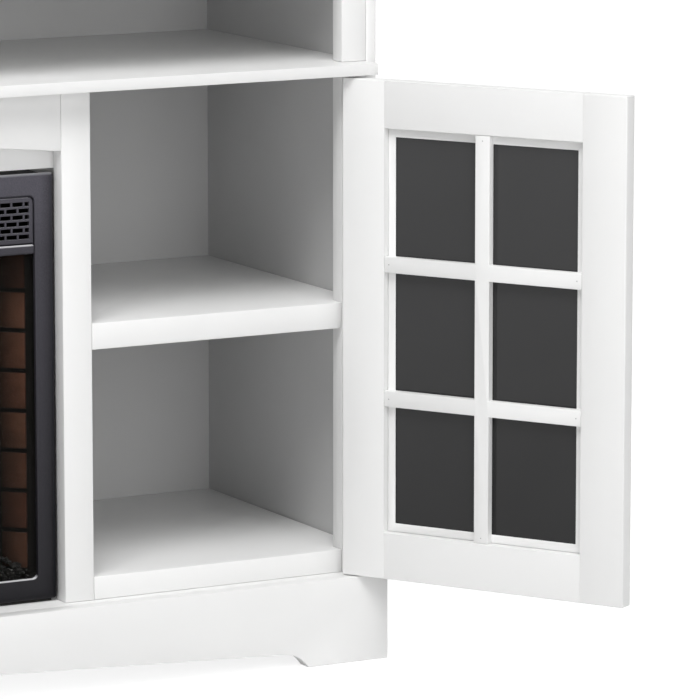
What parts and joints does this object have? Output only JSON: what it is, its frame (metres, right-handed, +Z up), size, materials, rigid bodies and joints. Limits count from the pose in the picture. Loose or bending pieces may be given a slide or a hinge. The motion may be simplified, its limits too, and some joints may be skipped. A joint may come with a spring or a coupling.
{
  "type": "fireplace tv stand",
  "caption": "White TV stand with an open upper bay and glass-door cupboards either side of an electric fireplace insert under an arched header, on a bracket-foot plinth.",
  "frame": {"origin": "centre of the underside of the round centre foot, at floor level and in the middle of the width and depth of the carcass", "axes": "+Z up, front facing -Y, +X towards the right-hand cupboard seen from the front"},
  "size_m": [1.6161, 0.6843, 0.838],
  "materials": {
    "white_paint": "smooth white satin paint on board",
    "white_backing": "white matt laminated hardboard",
    "door_glass": "dark grey tinted glass",
    "pin_steel": "plain steel",
    "insert_trim": "charcoal satin powder coat",
    "insert_black": "black matt powder coat",
    "insert_glass": "clear toughened glass",
    "brick_effect": "moulded brick effect, matt red-brown",
    "ember_resin": "moulded ember bed, matt char",
    "reflector": "amber reflective film on a shaft"
  },
  "bodies": {
    "carcass": {"plinth_apron": "white_paint", "plinth_side_right": "white_paint", "plinth_side_left": "white_paint", "plinth_deck": "white_paint", "plinth_rear_rail": "white_paint", "centre_foot": "white_paint", "side_panel_right": "white_paint", "side_panel_left": "white_paint", "bay_partition_right": "white_paint", "bay_partition_left": "white_paint", "lower_post_right": "white_paint", "lower_post_left": "white_paint", "upper_post_right": "white_paint", "upper_post_left": "white_paint", "fireplace_stile_right": "white_paint", "fireplace_stile_left": "white_paint", "cupboard_floor_right": "white_paint", "cupboard_floor_left": "white_paint", "cupboard_shelf_right": "white_paint", "cupboard_shelf_left": "white_paint", "arched_header": "white_paint", "header_backing": "white_paint", "top_shelf": "white_paint", "upper_divider": "white_paint", "top_board": "white_paint", "upper_back": "white_backing", "cupboard_back_right": "white_backing", "cupboard_back_left": "white_backing", "lower_pivot_pin_right": "pin_steel", "lower_pivot_pin_left": "pin_steel", "upper_pivot_pin_right": "pin_steel", "upper_pivot_pin_left": "pin_steel", "insert_flange": "insert_trim", "insert_bar": "insert_trim", "insert_grille": "insert_trim", "insert_housing": "insert_black", "insert_glass": "insert_glass", "brick_backdrop": "brick_effect", "ember_bed": "ember_resin", "spindle_motor": "insert_black", "fan_case": "insert_black", "fan_motor": "insert_black", "cord_inlet": "insert_black"},
    "door_right": {"door_hinge_stile_right": "white_paint", "door_free_stile_right": "white_paint", "door_top_rail_right": "white_paint", "door_bottom_rail_right": "white_paint", "door_inner_grid_right": "white_paint", "door_outer_grid_right": "white_paint", "door_glass_right": "door_glass"},
    "door_left": {"door_hinge_stile_left": "white_paint", "door_free_stile_left": "white_paint", "door_top_rail_left": "white_paint", "door_bottom_rail_left": "white_paint", "door_inner_grid_left": "white_paint", "door_outer_grid_left": "white_paint", "door_glass_left": "door_glass"},
    "spindle": {"flame_spindle": "reflector"},
    "fan": {"fan_wheel": "insert_black"}
  },
  "joints": [
    {"name": "door_right_hinge", "type": "hinge", "parent": "carcass", "child": "door_right", "pos_m": [0.6991, -0.1892, 0.3664], "axis": [0, 0, 1], "range_deg": [-121, 0]},
    {"name": "door_left_hinge", "type": "hinge", "parent": "carcass", "child": "door_left", "pos_m": [-0.6991, -0.1892, 0.3664], "axis": [0, 0, -1], "range_deg": [0, 121]},
    {"name": "spindle_turn", "type": "hinge", "parent": "carcass", "child": "spindle", "pos_m": [0, -0.0662, 0.146], "axis": [1, 0, 0], "continuous": true},
    {"name": "fan_turn", "type": "hinge", "parent": "carcass", "child": "fan", "pos_m": [0, -0.0922, 0.508], "axis": [1, 0, 0], "continuous": true}
  ]
}
